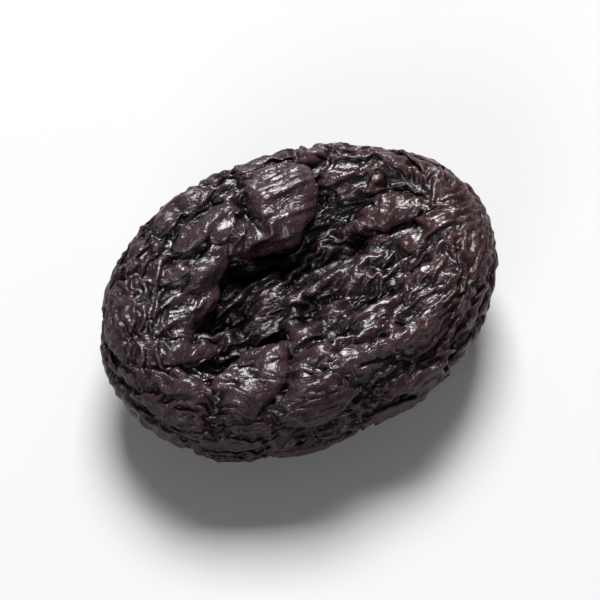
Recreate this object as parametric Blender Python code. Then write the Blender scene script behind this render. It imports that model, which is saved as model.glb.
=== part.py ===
"""A prune: one dried plum without its stone, wrinkled and sunken, lying on its broad side.

Units are metres and +Z is up. The origin is on the surface that the prune rests on, under the
middle of its outline, and +X runs along its longest side. The fruit is one solid. It starts as a
cube cage blown up to a plump oval, and formulas then sink its middle, draw the skin down into
creases and raise the folds of the shrunken skin between them.
"""

import math
from collections import namedtuple

import bmesh
import bpy
import numpy as np
from mathutils import Vector, noise

MM = 0.001

# Driving dimensions of the whole fruit, and how much of its underside is pressed flat
LENGTH = 38.0 * MM
WIDTH = 27.5 * MM
HEIGHT = 16.5 * MM
REST_DEPTH = 0.5 * MM

# The plump body: quads along each side of its cage and how far they crowd to the top, how square
# its outline and its side are, and how it leans, narrows and swells
CAGE_QUADS = 31
TOP_DETAIL = 0.22
OUTLINE_SQUARENESS = 2.08
SIDE_SQUARENESS = 2.25
TOP_LEAN = 0.15
BLUNT_END = 0.05
LUMP_SIZE = 16.0 * MM
LUMP_HEIGHT = 0.5 * MM

# The sunken middle, where the stone was: its centre, half lengths and depth, and how its floor
# flattens out and its edge rounds over
HOLLOW_CENTRE = (-0.4 * MM, -0.3 * MM)
HOLLOW_HALF = (16.6 * MM, 11.6 * MM)
HOLLOW_DEPTH = 4.7 * MM
HOLLOW_FLOOR = 2.5
HOLLOW_EDGE = 1.3

# A crease is a line over the top, seen from above, in millimetres. Its width is given on its left
# and on its right, and its lip is how far the skin on its left is pulled out over it.
Crease = namedtuple("Crease", "line depth left right lip")
CREASES = (
    Crease(
        ((-12.2, -0.9), (-11.0, 1.5), (-8.4, 2.6), (-6.6, 4.2), (-5.2, 5.4), (-3.0, 5.0), (-0.2, 4.4),
         (2.4, 4.8), (4.1, 6.0), (4.9, 7.6), (5.2, 10.4)),
        4.4 * MM, 0.9 * MM, 4.4 * MM, 2.0 * MM,
    ),
    Crease(((-0.9, 8.8), (-1.4, 7.0), (-1.8, 5.2)), 2.0 * MM, 0.9 * MM, 1.1 * MM, 1.0 * MM),
    Crease(((-9.4, 7.4), (-6.6, 7.0), (-4.4, 6.2), (-2.8, 5.6)), 1.5 * MM, 0.8 * MM, 1.2 * MM, 1.6 * MM),
    Crease(
        ((-11.6, 7.2), (-8.6, 8.9), (-4.6, 10.3), (-0.4, 10.9), (3.6, 10.6), (5.6, 10.2)),
        1.5 * MM, 1.3 * MM, 1.2 * MM, 0.0,
    ),
    Crease(((5.6, 6.2), (8.2, 5.6), (11.0, 4.0)), 1.0 * MM, 0.8 * MM, 1.0 * MM, 0.6 * MM),
    Crease(((4.8, 3.0), (7.2, 2.0), (9.6, 1.2), (12.8, 0.2)), 1.8 * MM, 0.9 * MM, 1.3 * MM, 0.8 * MM),
    Crease(((6.4, -1.4), (9.2, -2.6), (12.4, -3.4)), 0.9 * MM, 1.1 * MM, 1.0 * MM, 0.4 * MM),
    Crease(((-17.6, -1.6), (-15.0, -3.2), (-12.2, -3.3), (-9.6, -1.8)), 1.6 * MM, 0.9 * MM, 1.1 * MM, 0.0),
    Crease(
        ((-3.4, -5.6), (-6.0, -4.6), (-8.4, -4.2), (-11.2, -5.6), (-13.6, -6.6)),
        2.4 * MM, 0.9 * MM, 1.8 * MM, 1.2 * MM,
    ),
    Crease(
        ((-10.0, -10.4), (-7.8, -9.4), (-5.9, -7.7), (-4.6, -5.8)),
        2.0 * MM, 0.8 * MM, 1.2 * MM, 1.4 * MM,
    ),
    Crease(((-12.8, -6.6), (-13.4, -8.4), (-14.6, -9.8)), 1.2 * MM, 0.9 * MM, 0.9 * MM, 0.0),
    Crease(((-12.6, 4.6), (-10.6, 3.4), (-9.0, 2.4)), 1.0 * MM, 0.9 * MM, 0.9 * MM, 0.4 * MM),
    Crease(((-4.8, -2.6), (-2.0, -2.2), (2.2, -2.8), (5.8, -4.2)), 0.6 * MM, 1.0 * MM, 1.0 * MM, 0.0),
)
CREASE_POINTEDNESS = 1.4
CREASE_WANDER = 0.6 * MM
CREASE_WANDER_SIZE = 3.5 * MM

# The edge of a lip: its place, and how far it falls off behind and in front, in shares of the
# crease's width on the left, and its rise in shares of its reach
LIP_EDGE = 1.1
LIP_BACK = 2.3
LIP_FRONT = 0.8
LIP_LIFT = 0.45

# Folds of the skin: how far apart, how tall, and for some how long for their width
RIM_FOLDS = 17
RIM_FOLD_HEIGHT = 0.3 * MM
RIM_FOLDS_END = 6.0 * MM
RIM_FOLD_WANDER = 9.0
SIDE_FOLD_SPACING = 3.0 * MM
SIDE_FOLD_HEIGHT = 0.5 * MM
SIDE_FOLD_LENGTH = 3.4
TOP_FOLD_SPACING = 3.6 * MM
TOP_FOLD_HEIGHT = 0.45 * MM
TOP_FOLD_LENGTH = 2.3
CREST_SPACING = 3.0 * MM
CREST_HEIGHT = 0.8 * MM
NOISE_STEEPNESS = 1.9
NOISE_SHARE = 0.67
FOLD_SHARPNESS = 0.85
FOLD_BEND = 1.4 * MM
FOLD_BEND_SIZE = 6.0 * MM
FOLD_STRENGTH = 0.8
FOLD_STRENGTH_VARIES = 0.7
CALM_UNDERNEATH = 0.7

# Where each form starts and is whole, by how steeply a point's way from the middle climbs (-1 is
# straight down, 1 straight up), and for the rim by its share of the hollow's half lengths
HOLLOW_CLIMB = (0.05, 0.5)
CREASE_CLIMB = (-0.1, 0.3)
FLAT_CLIMB = (0.45, 0.85)
RIM_CLIMB = (0.2, 0.6)
UNDERNEATH_CLIMB = (0.6, 0.95)
RIM_STARTS = (0.35, 0.8)
RIM_ENDS = (1.05, 1.3)

# How often and how far the points are slid apart after the creases, and rounded after the folds
EVENING_PASSES = 40
EVENING_SHARE = 0.5
SMOOTHING_SHARE = 0.35

SKIN_COLOUR = (0.020, 0.012, 0.012, 1.0)
SKIN_ROUGHNESS = 0.32


def clear_scene():
    for item in list(bpy.data.objects):
        bpy.data.objects.remove(item, do_unlink=True)


def eased(limits, value):
    """0 below the first limit, 1 above the second, and a smooth step between."""
    share = np.clip((value - limits[0]) / (limits[1] - limits[0]), 0.0, 1.0)
    return share * share * (3.0 - 2.0 * share)


def smooth_noise(points, size, seed):
    """Noise from -1 to 1 at each point, with lumps about size across."""
    shift = Vector((17.3 * seed, -9.1 * seed, 5.7 * seed))
    return np.array([noise.noise(Vector(point) / size + shift) for point in points])


def bent(points, reach, size, seed):
    """The points pushed about at random by up to reach, so that a pattern on them bends."""
    pushes = [smooth_noise(points, size, seed + axis) for axis in range(3)]
    return points + reach * np.stack(pushes, axis=1)


def pillowed(wave):
    """Round crests with sharp valleys between them, from a wave about zero."""
    return 2.0 * np.minimum(np.abs(wave), 1.0) ** FOLD_SHARPNESS - 1.0


def crested(wave):
    """Sharp crests with wide valleys between them, from a wave about zero."""
    return -pillowed(wave)


def cage_directions():
    """An even grid on a sphere, made from a cube with CAGE_QUADS quads along each edge."""
    cage = bmesh.new()
    bmesh.ops.create_cube(cage, size=2.0)
    bmesh.ops.subdivide_edges(cage, edges=cage.edges[:], cuts=CAGE_QUADS - 1, use_grid_fill=True)
    bulged = np.tan(vertex_places(cage) * math.pi / 4.0)
    directions = bulged / np.linalg.norm(bulged, axis=1, keepdims=True)
    directions[:, 2] += TOP_DETAIL
    return cage, directions / np.linalg.norm(directions, axis=1, keepdims=True)


def vertex_places(cage):
    return np.array([vertex.co for vertex in cage.verts])


def vertex_normals(cage):
    cage.normal_update()
    return np.array([vertex.normal for vertex in cage.verts])


def move_to(cage, points):
    for vertex, point in zip(cage.verts, points):
        vertex.co = point


def smooth(cage, share):
    bmesh.ops.smooth_vert(
        cage, verts=cage.verts, factor=share, use_axis_x=True, use_axis_y=True, use_axis_z=True
    )


def plump_body(directions):
    """The fruit before it shrinks: a squarish oval with one end blunter than the other."""
    across = np.abs(directions)
    outline = (across[:, 0] ** OUTLINE_SQUARENESS + across[:, 1] ** OUTLINE_SQUARENESS) ** (
        SIDE_SQUARENESS / OUTLINE_SQUARENESS
    )
    reach = (outline + across[:, 2] ** SIDE_SQUARENESS) ** (-1.0 / SIDE_SQUARENESS)
    half = np.array([LENGTH, WIDTH, HEIGHT]) / 2.0
    points = directions * reach[:, None] * half
    points[:, 1] *= 1.0 - BLUNT_END * directions[:, 0]
    points[:, 2] *= 1.0 + TOP_LEAN * directions[:, 1] * (directions[:, 2] > 0.0)
    swell = smooth_noise(points, LUMP_SIZE, seed=3) + 0.5 * smooth_noise(points, LUMP_SIZE / 2.0, seed=4)
    return points + directions * (LUMP_HEIGHT * swell)[:, None]


def hollow_share(points):
    """0 at the middle of the hollow, 1 on its rim, and more outside it."""
    return np.hypot(
        (points[:, 0] - HOLLOW_CENTRE[0]) / HOLLOW_HALF[0],
        (points[:, 1] - HOLLOW_CENTRE[1]) / HOLLOW_HALF[1],
    )


def sink_hollow(points, directions):
    """Lets the top down where the stone was taken out."""
    on_top = eased(HOLLOW_CLIMB, directions[:, 2])
    share = np.clip(hollow_share(bent(points, 2.0 * FOLD_BEND, 2.0 * FOLD_BEND_SIZE, seed=6)), 0.0, 1.0)
    points[:, 2] -= HOLLOW_DEPTH * on_top * (1.0 - share ** HOLLOW_FLOOR) ** HOLLOW_EDGE


def rounded_line(line):
    """A line in millimetres with its corners cut twice, in metres."""
    knots = np.array(line) * MM
    for _ in range(2):
        starts, ends = knots[:-1], knots[1:]
        inner = np.stack([0.75 * starts + 0.25 * ends, 0.25 * starts + 0.75 * ends], axis=1)
        knots = np.vstack([knots[:1], inner.reshape(-1, 2), knots[-1:]])
    return knots


def place_on_crease(points, line):
    """Each point's distance from the line, its way out to the line's left, and how far along it is."""
    knots = rounded_line(line)
    nearest = np.full(len(points), np.inf)
    left = np.zeros((len(points), 2))
    along = np.zeros(len(points))
    for index in range(len(knots) - 1):
        start, step = knots[index], knots[index + 1] - knots[index]
        offset = points[:, :2] - start
        share = np.clip(offset @ step / (step @ step), 0.0, 1.0)
        gap = np.linalg.norm(offset - share[:, None] * step, axis=1)
        side = np.sign(step[0] * offset[:, 1] - step[1] * offset[:, 0])
        nearer = gap < np.abs(nearest)
        nearest = np.where(nearer, gap * np.where(side < 0.0, -1.0, 1.0), nearest)
        left = np.where(nearer[:, None], np.array([-step[1], step[0]]) / np.linalg.norm(step), left)
        along = np.where(nearer, (index + share) / (len(knots) - 1), along)
    return nearest, left, along


def press_crease(points, directions, crease):
    """Draws the skin down along a crease and pulls the lip on its left out over it."""
    wandering = bent(points, CREASE_WANDER, CREASE_WANDER_SIZE, seed=41)
    gap, left, along = place_on_crease(wandering, crease.line)
    ends = np.sqrt(np.clip(4.0 * along * (1.0 - along), 0.0, 1.0))
    strength = ends * eased(CREASE_CLIMB, directions[:, 2])
    width = np.where(gap > 0.0, crease.left, crease.right)
    points[:, 2] -= crease.depth * strength * np.exp(-((np.abs(gap) / width) ** CREASE_POINTEDNESS))
    behind = gap - LIP_EDGE * crease.left
    fall = np.where(behind > 0.0, LIP_BACK * crease.left, LIP_FRONT * crease.left)
    lip = strength * np.exp(-((behind / fall) ** 2))
    points[:, :2] -= crease.lip * lip[:, None] * left
    points[:, 2] += LIP_LIFT * crease.lip * lip


def slide_apart(cage):
    """Slides the points along the surface until they are evenly spaced again."""
    for _ in range(EVENING_PASSES):
        points, normals = vertex_places(cage), vertex_normals(cage)
        smooth(cage, EVENING_SHARE)
        slid = vertex_places(cage) - points
        move_to(cage, points + slid - normals * (slid * normals).sum(axis=1, keepdims=True))


def round_the_rim(points):
    """The way round the hollow from +X, as an angle."""
    return np.arctan2(
        (points[:, 1] - HOLLOW_CENTRE[1]) / HOLLOW_HALF[1],
        (points[:, 0] - HOLLOW_CENTRE[0]) / HOLLOW_HALF[0],
    )


def rim_folds(points, moved, directions):
    """Folds that run in over the rim of the hollow, on the end that faces -X."""
    share = hollow_share(moved)
    on_rim = eased(RIM_STARTS, share) * (1.0 - eased(RIM_ENDS, share)) * eased(RIM_CLIMB, directions[:, 2])
    on_rim = on_rim * (1.0 - eased((-RIM_FOLDS_END, RIM_FOLDS_END), points[:, 0]))
    wander = RIM_FOLD_WANDER * smooth_noise(points, LUMP_SIZE, seed=17)
    return RIM_FOLD_HEIGHT * on_rim * pillowed(np.sin(RIM_FOLDS * round_the_rim(moved) + wander))


def side_folds(moved):
    """Long folds round the side of the fruit."""
    angle = np.arctan2(moved[:, 1] / WIDTH, moved[:, 0] / LENGTH)
    ring = (LENGTH + WIDTH) / 4.0 / SIDE_FOLD_LENGTH
    wrapped = np.stack([ring * np.cos(angle), ring * np.sin(angle), moved[:, 2]], axis=1)
    wave = NOISE_STEEPNESS * smooth_noise(wrapped, SIDE_FOLD_SPACING * NOISE_SHARE, seed=51)
    return SIDE_FOLD_HEIGHT * pillowed(wave)


def top_folds(moved):
    """Round folds and sharp crests over the top and the underside, drawn out along the fruit."""
    drawn = moved / np.array([TOP_FOLD_LENGTH, 1.0, 1.0])
    folds = NOISE_STEEPNESS * smooth_noise(drawn, TOP_FOLD_SPACING * NOISE_SHARE, seed=31)
    crests = NOISE_STEEPNESS * smooth_noise(drawn, CREST_SPACING * NOISE_SHARE, seed=32)
    return TOP_FOLD_HEIGHT * pillowed(folds) + CREST_HEIGHT * crested(crests)


def fold_skin(cage, directions):
    """Moves each point along the surface's own normal by the height of its folds."""
    points, normals = vertex_places(cage), vertex_normals(cage)
    moved = bent(points, FOLD_BEND, FOLD_BEND_SIZE, seed=21)
    strength = FOLD_STRENGTH + FOLD_STRENGTH_VARIES * smooth_noise(points, FOLD_BEND_SIZE, seed=13)
    flat = eased(FLAT_CLIMB, np.abs(directions[:, 2]))
    heights = rim_folds(points, moved, directions)
    heights += side_folds(moved) * (1.0 - flat) + top_folds(moved) * flat
    calm = 1.0 - CALM_UNDERNEATH * eased(UNDERNEATH_CLIMB, -directions[:, 2])
    move_to(cage, points + normals * (strength * heights * calm)[:, None])


def set_down(points):
    """Scales to the driving sizes, flattens the underside where it rests, and centres the origin."""
    size = points.max(axis=0) - points.min(axis=0)
    points *= np.array([LENGTH, WIDTH, HEIGHT + REST_DEPTH]) / size
    points -= (points.max(axis=0) + points.min(axis=0)) / 2.0
    points[:, 2] -= points[:, 2].min() + REST_DEPTH
    points[:, 2] = np.maximum(points[:, 2], 0.0)
    return points


def skin_material():
    material = bpy.data.materials.new("skin")
    material.use_nodes = True
    shader = material.node_tree.nodes["Principled BSDF"]
    shader.inputs["Base Color"].default_value = SKIN_COLOUR
    shader.inputs["Roughness"].default_value = SKIN_ROUGHNESS
    shader.inputs["Metallic"].default_value = 0.0
    material.diffuse_color = SKIN_COLOUR
    return material


def make_prune():
    cage, directions = cage_directions()
    points = plump_body(directions)
    sink_hollow(points, directions)
    for crease in CREASES:
        press_crease(points, directions, crease)
    move_to(cage, points)
    slide_apart(cage)
    fold_skin(cage, directions)
    smooth(cage, SMOOTHING_SHARE)
    move_to(cage, set_down(vertex_places(cage)))
    mesh = bpy.data.meshes.new("prune")
    cage.to_mesh(mesh)
    cage.free()
    mesh.shade_smooth()
    mesh.materials.append(skin_material())
    return bpy.data.objects.new("prune", mesh)


def main():
    clear_scene()
    collection = bpy.data.collections.new("prune")
    bpy.context.scene.collection.children.link(collection)
    collection.objects.link(make_prune())


main()
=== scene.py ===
"""The looks of a prune: its wrinkled skin, the floor it lies on, the light and the camera.

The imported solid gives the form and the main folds. The skin is then grown on it: the flesh of a
drying plum shrinks and its skin does not, so the skin is too large for what it covers and buckles
into wrinkles. Two rounds of growth make the middle-sized and the small wrinkles, a node tree raises
the finest ones, and one procedural material gives the dark, moist gloss.

Units are metres, +Z is up, and the prune keeps the place and the size that the frame gives it.
"""

import math

import bmesh
import bpy
import numpy as np
from bpy.props import FloatProperty, FloatVectorProperty, IntProperty, PointerProperty
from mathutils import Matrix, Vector, noise


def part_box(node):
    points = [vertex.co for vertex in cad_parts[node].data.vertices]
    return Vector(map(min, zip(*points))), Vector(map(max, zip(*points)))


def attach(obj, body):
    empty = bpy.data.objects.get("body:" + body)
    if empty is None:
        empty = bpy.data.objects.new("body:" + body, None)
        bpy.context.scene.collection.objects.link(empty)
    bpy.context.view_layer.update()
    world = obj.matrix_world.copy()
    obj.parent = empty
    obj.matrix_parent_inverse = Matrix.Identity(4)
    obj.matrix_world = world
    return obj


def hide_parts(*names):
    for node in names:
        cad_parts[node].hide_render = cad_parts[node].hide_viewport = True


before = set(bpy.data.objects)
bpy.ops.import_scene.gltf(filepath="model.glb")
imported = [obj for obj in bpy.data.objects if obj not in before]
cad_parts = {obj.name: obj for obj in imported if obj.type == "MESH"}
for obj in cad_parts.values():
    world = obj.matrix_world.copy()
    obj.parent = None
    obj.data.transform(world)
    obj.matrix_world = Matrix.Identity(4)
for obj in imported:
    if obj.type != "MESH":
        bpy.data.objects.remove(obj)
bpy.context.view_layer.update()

bl_info = {
    "name": "Prune",
    "version": (1, 0, 0),
    "blender": (4, 5, 0),
    "location": "3D View > Sidebar > Prune",
    "description": "Grows a wrinkled skin on the packed prune and sets it on a pale floor",
    "category": "Add Mesh",
}

MM = 0.001
NODE = "prune"
PIECE = "prune_skin"
BODY = "root"
LOW_CORNER, HIGH_CORNER = (np.array(corner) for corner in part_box(NODE))
MIDDLE = (LOW_CORNER + HIGH_CORNER) / 2.0
HALF_SIZE = (HIGH_CORNER - LOW_CORNER) / 2.0
ACROSS = np.array([0.0, 1.0, 0.0])
UP = np.array([0.0, 0.0, 1.0])

# The least values that anything is divided by: lengths and spreads, the length of a way, and the
# distance from the middle as a share of the outline's reach
TINY = 1e-9
TINY_WAY = 1e-6
NEAR_MIDDLE = 0.01

# Corners of the solid that lie closer together than this are one
WELD_GAP = 0.001 * MM

# The net of springs that is the skin: their pull, the share of it that the diagonal ones have, how
# many hang on a point at most, and how many of those run along edges
SPRING = 0.13
DIAGONAL_SHARE = 0.5
LINKS = 8
EDGE_LINKS = 4

# When the skin buckles: by how much it is larger than the flesh then, the bending stiffness that gives
# waves of the wanted length, and the limits of a wave's turn from one point to the next, in radians
ONSET = 0.07
BENDING = 9.0
TURN_LIMITS = (0.6, 1.7)

# How the growth runs: the share of its speed that a point keeps from step to step, the share of the
# flesh's hold that acts sideways, and the share of the steps by which the skin has its full size
SPEED_KEPT = 0.9
SIDEWAYS_HOLD = 0.3
RAMP_SHARE = 0.6

# Where the skin grows more or less: its share of the growth in a hollow, how far round a point a
# bulge is looked for, how high a slight and a full bulge are, how wide random patches are, and how
# much they differ
HOLLOW_GROWTH = 1.15
BULGE_REACH = 2.0 * MM
BULGE_HEIGHTS = (0.1 * MM, 0.5 * MM)
PATCH_SIZE = 7.0 * MM
PATCH_SPREAD = 0.5

# How firmly the flesh holds the skin: how wide random patches are, how much they differ, as a power
# of e, and the height below which the skin lies on the floor and is held still
HOLD_SIZE = 5.0 * MM
HOLD_SPREAD = 1.2
RESTING_HEIGHT = 0.15 * MM

# The faint bumps that the wrinkles start from, as shares of the wrinkles' spacing
START_SIZE = 0.35
START_HEIGHT = 0.03

# The seeds of the patches, which are added to the wrinkles' own, the seed of the ways, and how far
# the noise of one seed lies from that of the next
PATCH_SEED = 3
HOLD_SEED = 50
WAY_SEED = 90
SEED_SHIFT = (17.3, -9.1, 5.7)

# Smoothing passes that reach one gap of the net. Twice as far takes four times as many.
PASSES = 2.0

# Which way the skin grows most: where the rim starts and is full, by the share of the outline's
# reach, where the side ends and the top is full, by how upright the normal is, how far the way turns
# at random, in radians, and over what distance
RIM_STARTS = (0.55, 0.85)
FLAT_STARTS = (0.3, 0.75)
WAY_TURN = 0.8
WAY_SIZE = 6.0 * MM

# The share of the growth in every way, and how much more there is along that one
EVEN_GROWTH = 0.38
ACROSS_GROWTH = 0.82

# The smoother end of the rim: its middle, how far from it the change starts and ends, how much less
# the skin grows there, and how much more its way turns at random
CALM_PLACE = (15.5 * MM, -2.0 * MM)
CALM_REACH = (2.0 * MM, 9.0 * MM)
CALM_SHARE = 0.3
CALM_TURN = 1.6

# The crests: how far round a point the small ones are looked for, in gaps of the net, how far the
# lobes are, the gap of the net at that time, how much the lobes count beside the small ones, and how
# many spreads lie from a valley to a crest
CREST_GAPS = 3.5
LOBE_REACH = 2.5 * MM
NET_GAP = 0.3 * MM
# The lobes count in the colour too, so the gaps between them get more painted shade
LOBE_SHARE = 0.4
CREST_SPREADS = 4.0

# The power that rounds the plump body from which the top has sunk. Then the places where a change
# starts and is full: to darker colour and less gloss, a painted shade in the hollow, by the depth
# under that body, to less gloss, a painted shade that dims the reflections on the rim and side, by
# the share of the outline's reach, and to redder, by the place along the fruit.
PLUMPNESS = 2.2
HOLLOW_SHADE_DEPTHS = (3.0 * MM, 6.0 * MM)
RIM_SHADE_SHARES = (0.7, 0.95)
RED_PLACES = (-6.0 * MM, 14.0 * MM)

# The noise that the node trees make crests of: its middle value, where a crest is, its scale for
# crests one metre apart, and how steeply the valleys fall
NOISE_MIDDLE = 0.5
NOISE_SCALE = 0.7
STEEPNESS = 5.0

# The finest wrinkles: the scale of their bends for crests one metre apart, the share of their height
# that stands above the skin, and the heights over the floor where they start and are full
CRINKLE_BENDS = 0.2
ABOVE_SHARE = 0.5
OFF_FLOOR = (0.1 * MM, 1.0 * MM)

# The material's creases: the scale of their bends for crests one metre apart, how far they stray, in
# spacings, how dense they are along each axis, and how large and how deep the smaller ones are
CREASE_BENDS = 0.25
CREASE_STRAY = 4.0
CREASE_DENSITY = (0.5, 1.0, 1.0)
SMALL_SHARE = 0.45

# The mottle of the colour: its size, its detail and how much it counts. Then where the colours of
# valley, slope and crest lie from 0 in a valley to 1 on a crest. The dark valley end is painted shade
# in the creases; the redder crest end is the thin skin's own tone.
MOTTLE_SIZE = 2.5 * MM
MOTTLE_DETAIL = 4.0
MOTTLE_SHARE = 0.5
COLOUR_HEIGHTS = (0.2, 0.55, 0.95)

# The patches that have dried: their size, detail and raggedness, and the noise of moist and of dry
DRY_SIZE = 4.0 * MM
DRY_DETAIL = 5.0
DRY_RAGGEDNESS = 0.65
DRY_LIMITS = (0.35, 0.7)
GRAIN_DETAIL = 2.0

# The stage: the colour of the sky, the floor's side and roughness, and how far the camera sees
WHITE = (1.0, 1.0, 1.0, 1.0)
FLOOR_SIZE = 4.0
FLOOR_ROUGHNESS = 0.7
CAMERA_REACH = 10.0


class WrinkleSettings(bpy.types.PropertyGroup):
    """How the skin wrinkles."""

    fold_wave: FloatProperty(
        name="Fold spacing", description="From crest to crest of the middle-sized wrinkles",
        default=2.0 * MM, unit="LENGTH",
    )
    fold_growth: FloatProperty(
        name="Fold growth", description="How much larger the skin is than the flesh in the first round",
        default=0.08, min=0.0, max=0.5,
    )
    fold_steps: IntProperty(
        name="Fold steps", description="Steps of the first round", default=150, min=1,
    )
    wrinkle_wave: FloatProperty(
        name="Wrinkle spacing", description="From crest to crest of the small wrinkles",
        default=1.2 * MM, unit="LENGTH",
    )
    wrinkle_growth: FloatProperty(
        name="Wrinkle growth", description="How much larger the skin is than the flesh in the second round",
        default=0.35, min=0.0, max=0.5,
    )
    wrinkle_steps: IntProperty(
        name="Wrinkle steps", description="Steps of the second round", default=160, min=1,
    )
    outward_hold: FloatProperty(
        name="Outward hold", description="How hard the flesh keeps the skin from rising, 1 is even",
        default=0.5, min=0.0,
    )
    inward_hold: FloatProperty(
        name="Inward hold", description="How hard the flesh keeps the skin from sinking, 1 is even",
        default=2.5, min=0.0,
    )
    tightness: FloatProperty(
        name="Tightness", description="How much less the skin grows where a fold bulges",
        default=0.42, min=0.0,
    )
    crinkle_spacing: FloatProperty(
        name="Crinkle spacing", description="From crest to crest of the finest wrinkles",
        default=0.75 * MM, unit="LENGTH",
    )
    crinkle_length: FloatProperty(
        name="Crinkle length", description="How many times longer than wide the finest wrinkles are",
        default=2.2, min=1.0,
    )
    crinkle_bend: FloatProperty(
        name="Crinkle bend", description="How far the finest wrinkles stray from straight",
        default=2.0 * MM, unit="LENGTH",
    )
    crinkle_height: FloatProperty(
        name="Crinkle height", description="How far the finest wrinkles stand up",
        default=0.15 * MM, unit="LENGTH",
    )
    seed: IntProperty(name="Seed", description="Picks one pattern of wrinkles", default=7)


class SkinSettings(bpy.types.PropertyGroup):
    """The colour and gloss of the skin."""

    # Painted shade: the near-black valley colour darkens the skin down in the creases
    valley: FloatVectorProperty(
        name="Valley colour", description="Skin down in the creases", subtype="COLOR",
        default=(0.0024, 0.0009, 0.0012),
    )
    slope: FloatVectorProperty(
        name="Slope colour", description="Skin between valleys and crests", subtype="COLOR",
        default=(0.016, 0.0075, 0.0092),
    )
    crest: FloatVectorProperty(
        name="Crest colour", description="Thin stretched skin along the crests", subtype="COLOR",
        default=(0.031, 0.0155, 0.019),
    )
    # Painted shade: how much colour and gloss are left where shade is painted deep in the hollow
    hollow_shade_share: FloatProperty(
        name="Depth share", description="How much colour and gloss are left deep in the hollow",
        default=0.3, min=0.0, max=1.0,
    )
    # Painted shade: the gloss is cut on the rim and the side to dim the reflections there
    rim_shade_share: FloatProperty(
        name="Rim share", description="How much gloss is left on the rim and the side",
        default=0.4, min=0.0, max=1.0,
    )
    redness: FloatProperty(
        name="Redness", description="How much redder one end is than the other", default=1.3, min=1.0,
    )
    roughness: FloatProperty(
        name="Roughness", description="Of moist skin, 0 is a mirror", default=0.25, min=0.0, max=1.0,
    )
    dull_roughness: FloatProperty(
        name="Dull roughness", description="Of the patches that have dried", default=0.36, min=0.0, max=1.0,
    )
    gloss: FloatProperty(
        name="Gloss", description="How strongly the skin mirrors", default=0.47, min=0.0, max=1.0,
    )
    coat: FloatProperty(
        name="Moist film", description="How much of a thin film lies on the skin",
        default=0.25, min=0.0, max=1.0,
    )
    coat_roughness: FloatProperty(
        name="Film roughness", description="Of the thin film", default=0.12, min=0.0, max=1.0,
    )
    crease_spacing: FloatProperty(
        name="Crease spacing", description="From crest to crest of the creases in the skin's surface",
        default=0.45 * MM, unit="LENGTH",
    )
    crease_height: FloatProperty(
        name="Crease height", description="How far the creases' crests stand up",
        default=0.055 * MM, unit="LENGTH",
    )
    grain_spacing: FloatProperty(
        name="Grain size", description="Of the pores", default=0.12 * MM, unit="LENGTH",
    )
    grain_height: FloatProperty(
        name="Grain height", description="Of the pores", default=0.006 * MM, unit="LENGTH",
    )


class StageSettings(bpy.types.PropertyGroup):
    """The floor, the light and the camera."""

    floor_colour: FloatVectorProperty(
        name="Floor colour", description="Of the plain floor", subtype="COLOR", default=(0.45, 0.45, 0.45),
    )
    sky: FloatProperty(
        name="Sky", description="Strength of the even light from all round", default=0.15, min=0.0,
    )
    key_place: FloatVectorProperty(
        name="Key place", description="Where the main light hangs", subtype="TRANSLATION",
        default=(0.25, 0.50, 0.95),
    )
    key_size: FloatProperty(
        name="Key size", description="Side of the main light's square", default=0.50, unit="LENGTH",
    )
    key_power: FloatProperty(
        name="Key power", description="Of the main light, in watts", default=25.0, min=0.0,
    )
    fill_place: FloatVectorProperty(
        name="Fill place", description="Where the second light hangs", subtype="TRANSLATION",
        default=(-0.80, -0.70, 0.60),
    )
    fill_power: FloatProperty(
        name="Fill power", description="Of the second light, in watts", default=5.5, min=0.0,
    )
    camera_turn: FloatProperty(
        name="Camera turn", description="Round the prune from its front, to the right",
        default=math.radians(-28.0), subtype="ANGLE",
    )
    camera_climb: FloatProperty(
        name="Camera climb", description="Height of the camera above the horizon",
        default=math.radians(60.0), subtype="ANGLE",
    )
    camera_distance: FloatProperty(
        name="Camera distance", description="From the middle of the prune", default=0.42, unit="LENGTH",
    )
    lens: FloatProperty(name="Lens", description="Focal length in millimetres", default=280.0)


def read(items, name, width=3, kind=np.float32):
    """One property of a mesh's points, edges or corners, with a row for each."""
    flat = np.empty(len(items) * width, kind)
    items.foreach_get(name, flat)
    return flat.reshape(-1, width)


def store(mesh, name, numbers):
    """Stores a number for each point of the mesh, in an attribute of that name."""
    attribute = mesh.attributes.get(name) or mesh.attributes.new(name, "FLOAT", "POINT")
    attribute.data.foreach_set("value", numbers.astype(np.float32))


def mesh_points(mesh):
    return read(mesh.vertices, "co")


def mesh_normals(mesh):
    return read(mesh.vertex_normals, "vector")


def move_points(mesh, points):
    mesh.vertices.foreach_set("co", points.astype(np.float32).ravel())
    mesh.update()


def eased(low, high, value):
    """0 below low, 1 above high, and a smooth step between."""
    share = np.clip((value - low) / (high - low), 0.0, 1.0)
    return share * share * (3.0 - 2.0 * share)


def smooth_noise(points, size, seed):
    """Noise from -1 to 1 at each point, with lumps about size across."""
    shift = Vector([step * seed for step in SEED_SHIFT])
    return np.array([noise.noise(Vector(point) / size + shift) for point in points], np.float32)


def bake(piece):
    """Works the piece's modifiers into its mesh and takes them off."""
    graph = bpy.context.evaluated_depsgraph_get()
    mesh = bpy.data.meshes.new_from_object(piece.evaluated_get(graph))
    piece.modifiers.clear()
    old = piece.data
    piece.data = mesh
    bpy.data.meshes.remove(old)


def quad_skin(node):
    """A piece with the solid's surface in quads."""
    surface = bmesh.new()
    surface.from_mesh(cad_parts[node].data)
    bmesh.ops.remove_doubles(surface, verts=surface.verts, dist=WELD_GAP)
    bmesh.ops.join_triangles(
        surface, faces=surface.faces, angle_face_threshold=math.pi, angle_shape_threshold=math.pi
    )
    mesh = bpy.data.meshes.new(PIECE)
    surface.to_mesh(mesh)
    surface.free()
    mesh.materials.clear()
    piece = bpy.data.objects.new(PIECE, mesh)
    bpy.context.scene.collection.objects.link(piece)
    return piece


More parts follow.
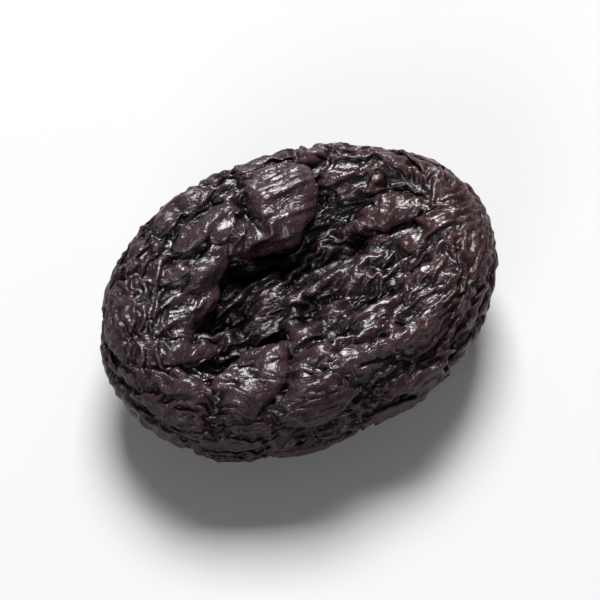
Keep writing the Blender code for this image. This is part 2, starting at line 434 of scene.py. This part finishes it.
def refine(piece):
    """Cuts every face in four and rounds the surface."""
    rounding = piece.modifiers.new("rounding", "SUBSURF")
    rounding.levels = rounding.render_levels = 1
    bpy.context.view_layer.update()
    bake(piece)


def net_links(mesh):
    """For each vertex, the vertices it is tied to and how firmly: along edges, and across quads."""
    count = len(mesh.vertices)
    edges = read(mesh.edges, "vertices", 2, np.int32)
    quads = read(mesh.loops, "vertex_index", 1, np.int32).reshape(-1, 4)
    ties = np.vstack([edges, quads[:, [0, 2]], quads[:, [1, 3]]])
    firmness = np.repeat([1.0, DIAGONAL_SHARE], [len(edges), 2 * len(quads)])
    start = np.concatenate([ties[:, 0], ties[:, 1]])
    end = np.concatenate([ties[:, 1], ties[:, 0]])
    firmness = np.concatenate([firmness, firmness])
    order = np.lexsort((-firmness, start))
    start, end, firmness = start[order], end[order], firmness[order]
    rank = np.arange(len(start)) - np.searchsorted(start, start)
    kept = rank < LINKS
    links = np.repeat(np.arange(count)[:, None], LINKS, axis=1)
    weights = np.zeros((count, LINKS), np.float32)
    links[start[kept], rank[kept]] = end[kept]
    weights[start[kept], rank[kept]] = firmness[kept]
    return links, weights


def smoothed(points, links, weights, passes):
    """The points after each has gone halfway to the middle of its neighbours, so many times."""
    shares = weights[..., None] / weights.sum(axis=1)[:, None, None]
    for _ in range(passes):
        points = 0.5 * points + 0.5 * (points[links] * shares).sum(axis=1)
    return points


def bulge(points, normals, links, weights, gaps):
    """How far each point stands above the skin round it, as far as so many gaps of the net."""
    passes = max(1, round(PASSES * gaps ** 2))
    return ((points - smoothed(points, links, weights, passes)) * normals).sum(axis=1)


def calmness(points):
    """1 at the smoother end of the rim and 0 away from it."""
    off_calm = np.hypot(points[:, 0] - CALM_PLACE[0], points[:, 1] - CALM_PLACE[1])
    return 1.0 - eased(*CALM_REACH, off_calm)


def growth_ways(points, normals):
    """Which way the skin has grown most: up the side, outward on the rim, and across the middle.

    The ways are turned at random, so the wrinkles, which lie across them, wander and meet.
    """
    place = (points - MIDDLE) / HALF_SIZE
    share = np.hypot(place[:, 0], place[:, 1])
    outward = place / HALF_SIZE / np.maximum(share, NEAR_MIDDLE)[:, None]
    outward[:, 2] = 0.0
    outward /= np.linalg.norm(outward, axis=1, keepdims=True)
    outward[place[:, 1] < 0.0] *= -1.0
    near_rim = eased(*RIM_STARTS, share)[:, None]
    upright = 1.0 - eased(*FLAT_STARTS, np.abs(normals[:, 2]))[:, None]
    across = outward * near_rim + ACROSS * (1.0 - near_rim)
    ways = UP * upright + across * (1.0 - upright)
    ways -= normals * (ways * normals).sum(axis=1, keepdims=True)
    ways /= np.maximum(np.linalg.norm(ways, axis=1, keepdims=True), TINY_WAY)
    wander = WAY_TURN + CALM_TURN * calmness(points)
    turn = (wander * smooth_noise(points, WAY_SIZE, WAY_SEED))[:, None]
    ways = ways * np.cos(turn) + np.cross(normals, ways) * np.sin(turn)
    return ways.astype(np.float32)


def grow(mesh, settings, wave, growth, steps, seed):
    """Makes the skin larger than the flesh under it and lets it buckle into wrinkles.

    The skin is a net of springs that are longer than the gaps they span. Bending stiffness against
    the hold of the flesh sets the spacing of the wrinkles.
    """
    flesh, normals = mesh_points(mesh), mesh_normals(mesh)
    links, weights = net_links(mesh)
    total = weights.sum(axis=1, keepdims=True)
    shares = weights[..., None] / total[..., None]
    spans = flesh[links] - flesh[:, None]
    lengths = np.linalg.norm(spans, axis=2)
    lengths[weights == 0.0] = 1.0
    gap = float(np.median(lengths[:, :EDGE_LINKS]))

    # How much longer than its gap each spring is
    across = np.einsum("nkj,nj->nk", spans / lengths[..., None], growth_ways(flesh, normals)) ** 2
    extra = growth * (EVEN_GROWTH + ACROSS_GROWTH * across)
    tight = eased(*BULGE_HEIGHTS, bulge(flesh, normals, links, weights, BULGE_REACH / gap))
    extra = extra * (HOLLOW_GROWTH - settings.tightness * tight)[:, None]
    patches = 1.0 + PATCH_SPREAD * smooth_noise(flesh, PATCH_SIZE, seed + PATCH_SEED)
    extra = (extra * patches[:, None]).astype(np.float32)
    extra *= 1.0 - CALM_SHARE * calmness(flesh)[:, None]

    # How stiff the skin is at each point, how firmly it is held there, and whether it may move
    near = (lengths * weights).sum(axis=1) / total[:, 0]
    turn = np.clip(math.tau * near / wave, *TURN_LIMITS)
    bending = (ONSET * BENDING * SPRING / turn ** 2).astype(np.float32)[:, None]
    firmer = np.exp(HOLD_SPREAD * smooth_noise(flesh, HOLD_SIZE, seed + HOLD_SEED))
    firm = (ONSET * SPRING * turn ** 2 * firmer).astype(np.float32)
    free = np.where(flesh[:, 2] < RESTING_HEIGHT, 0.0, 1.0).astype(np.float32)[:, None]

    # From faint bumps the springs push the skin into wrinkles, which its stiffness and the flesh hold back
    start = smooth_noise(flesh, START_SIZE * wave, seed) * START_HEIGHT * wave
    skin = flesh + normals * start[:, None]
    speed = np.zeros_like(skin)
    for step in range(steps):
        ramp = min(1.0, (step + 1) / (RAMP_SHARE * steps))
        reach = skin[links] - skin[:, None]
        length = np.sqrt((reach * reach).sum(axis=2))
        pull = weights * (1.0 - lengths * (1.0 + extra * ramp) / np.maximum(length, TINY))
        force = SPRING * (reach * pull[..., None]).sum(axis=1)
        moved = skin - flesh
        bend = bending * ((moved[links] * shares).sum(axis=1) - moved)
        force -= (bend[links] * shares).sum(axis=1) - bend
        rise = (moved * normals).sum(axis=1)
        held = np.where(rise < 0.0, settings.inward_hold * firm, settings.outward_hold * firm) * rise
        force -= held[:, None] * normals
        force -= (SIDEWAYS_HOLD * firm)[:, None] * (moved - rise[:, None] * normals)
        speed = SPEED_KEPT * speed + force * free
        skin = skin + speed
    skin[:, 2] = np.maximum(skin[:, 2], 0.0)
    move_points(mesh, skin)


def grow_round(piece, settings, wave, growth, steps, seed):
    """Refines the skin and grows wrinkles of one size on it."""
    refine(piece)
    grow(piece.data, settings, wave, growth, steps, seed)


def mark_rise(mesh, name, gaps):
    """Stores how far each point stands above the skin round it, in spreads of all points."""
    links, weights = net_links(mesh)
    rise = bulge(mesh_points(mesh), mesh_normals(mesh), links, weights, gaps)
    store(mesh, name, rise / max(float(rise.std()), TINY))


def mark_crests(mesh):
    """Stores 0 in a valley to 1 on a crest, from the small wrinkles and the lobes together."""
    mark_rise(mesh, "crest", CREST_GAPS)
    small, lobes = (read(mesh.attributes[name].data, "value", 1)[:, 0] for name in ("crest", "lobes"))
    store(mesh, "crest", np.clip(0.5 + (small + LOBE_SHARE * lobes) / CREST_SPREADS, 0.0, 1.0))


def mark_places(mesh):
    """Stores how far each point of the top has sunk under the plump body, and what is rim or side."""
    place = (mesh_points(mesh) - MIDDLE) / HALF_SIZE
    share = np.minimum(np.hypot(place[:, 0], place[:, 1]), 1.0)
    plump = (1.0 - share ** PLUMPNESS) ** (1.0 / PLUMPNESS)
    store(mesh, "depth", np.where(place[:, 2] > 0.0, (plump - place[:, 2]) * HALF_SIZE[2], 0.0))
    store(mesh, "rim", eased(*RIM_SHADE_SHARES, share))


def fit_to_frame(mesh):
    """Scales the mesh to fill the solid's box and no more, standing at the same height."""
    points = mesh_points(mesh)
    low, high = points.min(axis=0), points.max(axis=0)
    share = (HIGH_CORNER - LOW_CORNER) / (high - low)
    move_points(mesh, (points - low) * share + LOW_CORNER)


def add_node(tree, kind, place, inputs=None, **settings):
    """A new node, with each input set to a value or linked to another node's output."""
    node = tree.nodes.new(kind)
    node.location = place
    for name, value in settings.items():
        setattr(node, name, value)
    for name, value in (inputs or {}).items():
        if isinstance(value, bpy.types.NodeSocket):
            tree.links.new(value, node.inputs[name])
        else:
            node.inputs[name].default_value = value
    return node


def math_node(tree, operation, place, first, second=0.0):
    """The result of an operation on two values, each a number or another node's output."""
    return add_node(tree, "ShaderNodeMath", place, {0: first, 1: second}, operation=operation).outputs[0]


def vector_node(tree, operation, place, first, second):
    """As math_node, with vectors. The second one of SCALE is a number."""
    inputs = {0: first, "Scale" if operation == "SCALE" else 1: second}
    return add_node(tree, "ShaderNodeVectorMath", place, inputs, operation=operation).outputs[0]


def between(tree, place, value, limits, results, kind="LINEAR"):
    """The first result at the first limit, the second at the second, and a step between."""
    names = ("Value", "From Min", "From Max", "To Min", "To Max")
    inputs = dict(zip(names, (value, *limits, *results)))
    return add_node(tree, "ShaderNodeMapRange", place, inputs, interpolation_type=kind).outputs[0]


def crinkle_tree():
    """Raises the finest wrinkles along the skin's normals: thin crests that wander along the fruit."""
    tree = bpy.data.node_groups.new("prune_crinkles", "GeometryNodeTree")
    kinds = {"Geometry": "NodeSocketGeometry", "Seed": "NodeSocketInt", "Skin": "NodeSocketMaterial"}
    for name in ("Geometry", "Spacing", "Length", "Height", "Bend", "Seed", "Skin"):
        kind = kinds.get(name, "NodeSocketFloat")
        tree.interface.new_socket(name, in_out="INPUT", socket_type=kind)
    tree.interface.new_socket("Geometry", in_out="OUTPUT", socket_type="NodeSocketGeometry")
    given = add_node(tree, "NodeGroupInput", (-1400, 0)).outputs
    place = add_node(tree, "GeometryNodeInputPosition", (-1400, 300)).outputs[0]

    # The place is bent and drawn out along the fruit, and the noise there is folded into crests
    bends = math_node(tree, "DIVIDE", (-1200, 0), CRINKLE_BENDS, given["Spacing"])
    bend = add_node(
        tree, "ShaderNodeTexNoise", (-1000, 300), {"Vector": place, "W": given["Seed"], "Scale": bends},
        noise_dimensions="4D",
    )
    push = vector_node(tree, "SCALE", (-800, 300), bend.outputs["Color"], given["Bend"])
    bent = vector_node(tree, "ADD", (-600, 300), place, push)
    along = add_node(tree, "ShaderNodeCombineXYZ", (-800, 0), {"X": given["Length"], "Y": 1.0, "Z": 1.0})
    drawn = vector_node(tree, "DIVIDE", (-400, 300), bent, along.outputs[0])
    scale = math_node(tree, "DIVIDE", (-400, 0), NOISE_SCALE, given["Spacing"])
    wave = add_node(
        tree, "ShaderNodeTexNoise", (-200, 300),
        {"Vector": drawn, "W": given["Seed"], "Scale": scale, "Detail": 0.0}, noise_dimensions="4D",
    )
    centred = math_node(tree, "SUBTRACT", (0, 300), wave.outputs[0], NOISE_MIDDLE)
    away = math_node(tree, "ABSOLUTE", (200, 300), centred)
    valley = math_node(tree, "MULTIPLY", (400, 300), away, STEEPNESS)
    floored = math_node(tree, "MINIMUM", (600, 300), valley, 1.0)
    crest = math_node(tree, "SUBTRACT", (800, 300), ABOVE_SHARE, floored)
    height = math_node(tree, "MULTIPLY", (1000, 300), crest, given["Height"])

    # Nothing is raised where the skin lies on the floor
    above = add_node(tree, "ShaderNodeSeparateXYZ", (600, 0), {0: place})
    off_floor = between(tree, (800, 0), above.outputs["Z"], OFF_FLOOR, (0.0, 1.0), "SMOOTHSTEP")
    raised = math_node(tree, "MULTIPLY", (1200, 200), height, off_floor)

    normal = add_node(tree, "GeometryNodeInputNormal", (1200, 0))
    offset = vector_node(tree, "SCALE", (1400, 200), normal.outputs[0], raised)
    moved = add_node(
        tree, "GeometryNodeSetPosition", (1600, 0), {"Geometry": given["Geometry"], "Offset": offset}
    )
    real = add_node(tree, "GeometryNodeRealizeInstances", (1800, 0), {0: moved.outputs[0]})
    painted = add_node(
        tree, "GeometryNodeSetMaterial", (2000, 0), {"Geometry": real.outputs[0], "Material": given["Skin"]}
    )
    add_node(tree, "NodeGroupOutput", (2200, 0), {0: painted.outputs[0]})
    return tree


def crinkle(piece, settings, material):
    """Runs the crinkle tree on the piece and keeps the result as a plain mesh."""
    tree = crinkle_tree()
    wanted = {
        "Spacing": settings.crinkle_spacing,
        "Length": settings.crinkle_length,
        "Height": settings.crinkle_height,
        "Bend": settings.crinkle_bend,
        "Seed": settings.seed,
        "Skin": material,
    }
    modifier = piece.modifiers.new("crinkles", "NODES")
    modifier.node_group = tree
    for item in tree.interface.items_tree:
        if item.in_out == "INPUT" and item.name in wanted:
            modifier[item.identifier] = wanted[item.name]
    bake(piece)


def creases(tree, place, settings):
    """Thin crests and wide valleys at two sizes, drawn out along the fruit: 0 on a crest, less below."""
    bend = add_node(
        tree, "ShaderNodeTexNoise", (-1800, -500),
        {"Vector": place, "Scale": CREASE_BENDS / settings.crease_spacing},
    )
    stray = CREASE_STRAY * settings.crease_spacing
    push = vector_node(tree, "SCALE", (-1600, -500), bend.outputs["Color"], stray)
    bent = vector_node(tree, "ADD", (-1400, -500), place, push)
    drawn = vector_node(tree, "MULTIPLY", (-1200, -500), bent, CREASE_DENSITY)
    total = None
    for row, share in ((-500, 1.0), (-700, SMALL_SHARE)):
        scale = NOISE_SCALE / (settings.crease_spacing * share)
        wave = add_node(
            tree, "ShaderNodeTexNoise", (-1000, row), {"Vector": drawn, "Scale": scale, "Detail": 1.0}
        )
        centred = math_node(tree, "SUBTRACT", (-800, row), wave.outputs[0], NOISE_MIDDLE)
        away = math_node(tree, "ABSOLUTE", (-700, row), centred)
        deep = math_node(tree, "MULTIPLY", (-600, row), away, -STEEPNESS * share)
        total = deep if total is None else math_node(tree, "ADD", (-450, -500), total, deep)
    return total


def even_noise(tree, place, vector, size, detail, **inputs):
    """Noise from 0 to 1 with lumps about size across."""
    inputs = {"Vector": vector, "Scale": 1.0 / size, "Detail": detail, **inputs}
    return add_node(tree, "ShaderNodeTexNoise", place, inputs).outputs[0]


def attribute_node(tree, place, name):
    return add_node(tree, "ShaderNodeAttribute", place, attribute_name=name).outputs["Fac"]


def skin_colour(tree, place, left, settings):
    """From the valley's colour, painted shade in the creases, to the crest's, mottled, redder along the
    fruit, and dark in the hollow as painted shade.
    """
    mottle = even_noise(tree, (-1200, 300), place, MOTTLE_SIZE, MOTTLE_DETAIL)
    spread = add_node(
        tree, "ShaderNodeMath", (-1000, 300), {0: mottle, 1: MOTTLE_SHARE, 2: -MOTTLE_SHARE / 2.0},
        operation="MULTIPLY_ADD",
    )
    crest = attribute_node(tree, (-1200, 100), "crest")
    height = math_node(tree, "ADD", (-800, 200), crest, spread.outputs[0])
    # The valley end of this ramp is painted shade in the creases; the crest end is the thin skin's own
    # redder tone
    colour = add_node(tree, "ShaderNodeValToRGB", (-600, 200), {0: height})
    elements = colour.color_ramp.elements
    low, middle, high = COLOUR_HEIGHTS
    elements[0].position = low
    elements[0].color = (*settings.valley, 1.0)
    elements[1].position = high
    elements[1].color = (*settings.crest, 1.0)
    elements.new(middle).color = (*settings.slope, 1.0)
    along = add_node(tree, "ShaderNodeSeparateXYZ", (-1000, 600), {0: place})
    redder = between(tree, (-700, 600), along.outputs["X"], RED_PLACES, (1.0, settings.redness))
    tint = add_node(tree, "ShaderNodeCombineXYZ", (-500, 600), {"X": redder, "Y": 1.0, "Z": 1.0})
    tinted = vector_node(tree, "MULTIPLY", (-300, 500), colour.outputs[0], tint.outputs[0])
    # Painted shade: the colour is darkened deep in the hollow
    return vector_node(tree, "SCALE", (-150, 500), tinted, left)


def skin_material(settings):
    """Dark, moist skin: nearly black in the valleys, which is painted shade in the creases, red-brown
    and thinner on the crests, with painted shade in the hollow and on the rim's gloss.
    """
    material = bpy.data.materials.new(PIECE)
    material.use_nodes = True
    tree = material.node_tree
    place = add_node(tree, "ShaderNodeTexCoord", (-1400, 0)).outputs["Object"]

    # Painted shade deep in the hollow: it darkens the colour and cuts the gloss
    depth = attribute_node(tree, (-900, 800), "depth")
    left = between(tree, (-700, 800), depth, HOLLOW_SHADE_DEPTHS, (1.0, settings.hollow_shade_share))
    # Painted shade on the rim and side: the gloss is cut to dim the reflections there
    rim = attribute_node(tree, (-900, 1000), "rim")
    rim_gloss_shade = between(tree, (-700, 1000), rim, (0.0, 1.0), (1.0, settings.rim_shade_share))
    gloss_after_shade = math_node(tree, "MULTIPLY", (-500, 900), left, rim_gloss_shade)

    dry = even_noise(tree, (-1200, -200), place, DRY_SIZE, DRY_DETAIL, Roughness=DRY_RAGGEDNESS)
    roughness = between(
        tree, (-900, -200), dry, DRY_LIMITS, (settings.roughness, settings.dull_roughness)
    )
    bump = add_node(
        tree, "ShaderNodeBump", (-300, -400),
        {"Distance": settings.crease_height, "Height": creases(tree, place, settings)},
    )
    grain = even_noise(tree, (-600, -800), place, settings.grain_spacing, GRAIN_DETAIL)
    pores = add_node(
        tree, "ShaderNodeBump", (-100, -600),
        {"Distance": settings.grain_height, "Height": grain, "Normal": bump.outputs[0]},
    )
    shader = tree.nodes["Principled BSDF"]
    shader.inputs["Coat Roughness"].default_value = settings.coat_roughness
    for name, value in (
        ("Base Color", skin_colour(tree, place, left, settings)),
        ("Roughness", roughness),
        ("Specular IOR Level", math_node(tree, "MULTIPLY", (-300, 900), gloss_after_shade, settings.gloss)),
        ("Coat Weight", math_node(tree, "MULTIPLY", (-300, 700), gloss_after_shade, settings.coat)),
        ("Normal", pores.outputs[0]),
    ):
        tree.links.new(value, shader.inputs[name])
    return material


def floor_material(settings):
    material = bpy.data.materials.new("floor")
    material.use_nodes = True
    shader = material.node_tree.nodes["Principled BSDF"]
    shader.inputs["Base Color"].default_value = (*settings.floor_colour, 1.0)
    shader.inputs["Roughness"].default_value = FLOOR_ROUGHNESS
    return material


def soft_light(name, place, size, power):
    """A square light that faces the prune."""
    light = bpy.data.lights.new(name, "AREA")
    light.size = size
    light.energy = power
    lamp = bpy.data.objects.new(name, light)
    lamp.location = place
    lamp.rotation_euler = (Vector(MIDDLE) - Vector(place)).to_track_quat("-Z", "Y").to_euler()
    bpy.context.scene.collection.objects.link(lamp)


class PRUNE_OT_fruit(bpy.types.Operator):
    """Grow the wrinkled skin on the prune"""

    bl_idname = "prune.fruit"
    bl_label = "Prune"

    def execute(self, context):
        wrinkles = context.scene.prune_wrinkles
        material = skin_material(context.scene.prune_skin)
        piece = quad_skin(NODE)
        grow_round(
            piece, wrinkles, wrinkles.fold_wave, wrinkles.fold_growth, wrinkles.fold_steps, wrinkles.seed
        )
        mark_rise(piece.data, "lobes", LOBE_REACH / NET_GAP)
        grow_round(
            piece, wrinkles, wrinkles.wrinkle_wave, wrinkles.wrinkle_growth, wrinkles.wrinkle_steps,
            wrinkles.seed + 1,
        )
        mark_crests(piece.data)
        crinkle(piece, wrinkles, material)
        fit_to_frame(piece.data)
        mark_places(piece.data)
        piece.data.shade_smooth()
        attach(piece, BODY)
        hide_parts(NODE)
        return {"FINISHED"}


class PRUNE_OT_stage(bpy.types.Operator):
    """Set up the pale floor, the soft light and the camera"""

    bl_idname = "prune.stage"
    bl_label = "Floor, light and camera"

    def execute(self, context):
        scene = context.scene
        settings = scene.prune_stage
        bpy.ops.mesh.primitive_plane_add(size=FLOOR_SIZE, location=(0.0, 0.0, 0.0))
        floor = context.object
        floor.name = "floor"
        floor.data.materials.append(floor_material(settings))

        world = bpy.data.worlds.new("studio")
        scene.world = world
        scene.view_settings.view_transform = "Standard"
        world.use_nodes = True
        backdrop = world.node_tree.nodes["Background"]
        backdrop.inputs["Color"].default_value = WHITE
        backdrop.inputs["Strength"].default_value = settings.sky
        soft_light("key", settings.key_place, settings.key_size, settings.key_power)
        soft_light("fill", settings.fill_place, settings.key_size, settings.fill_power)

        turn, climb = settings.camera_turn, settings.camera_climb
        back = Vector((math.sin(turn) * math.cos(climb), -math.cos(turn) * math.cos(climb), math.sin(climb)))
        camera = bpy.data.objects.new("camera", bpy.data.cameras.new("camera"))
        camera.data.lens = settings.lens
        camera.data.clip_end = CAMERA_REACH
        camera.location = Vector(MIDDLE) + back * settings.camera_distance
        camera.rotation_euler = (-back).to_track_quat("-Z", "Y").to_euler()
        scene.collection.objects.link(camera)
        scene.camera = camera
        return {"FINISHED"}


class PRUNE_PT_panel(bpy.types.Panel):
    """Lists what the add-on makes"""

    bl_label = "Prune"
    bl_idname = "PRUNE_PT_panel"
    bl_space_type = "VIEW_3D"
    bl_region_type = "UI"
    bl_category = "Prune"

    def draw(self, context):
        for operator in (PRUNE_OT_fruit, PRUNE_OT_stage):
            self.layout.operator(operator.bl_idname)
        for group in (context.scene.prune_wrinkles, context.scene.prune_skin, context.scene.prune_stage):
            box = self.layout.box()
            for name in group.__annotations__:
                box.prop(group, name)


CLASSES = (WrinkleSettings, SkinSettings, StageSettings, PRUNE_OT_fruit, PRUNE_OT_stage, PRUNE_PT_panel)


def register():
    for item in CLASSES:
        bpy.utils.register_class(item)
    bpy.types.Scene.prune_wrinkles = PointerProperty(type=WrinkleSettings)
    bpy.types.Scene.prune_skin = PointerProperty(type=SkinSettings)
    bpy.types.Scene.prune_stage = PointerProperty(type=StageSettings)


def unregister():
    del bpy.types.Scene.prune_stage
    del bpy.types.Scene.prune_skin
    del bpy.types.Scene.prune_wrinkles
    for item in reversed(CLASSES):
        bpy.utils.unregister_class(item)


def main():
    register()
    bpy.ops.prune.stage()
    bpy.ops.prune.fruit()


if __name__ == "__main__":
    main()
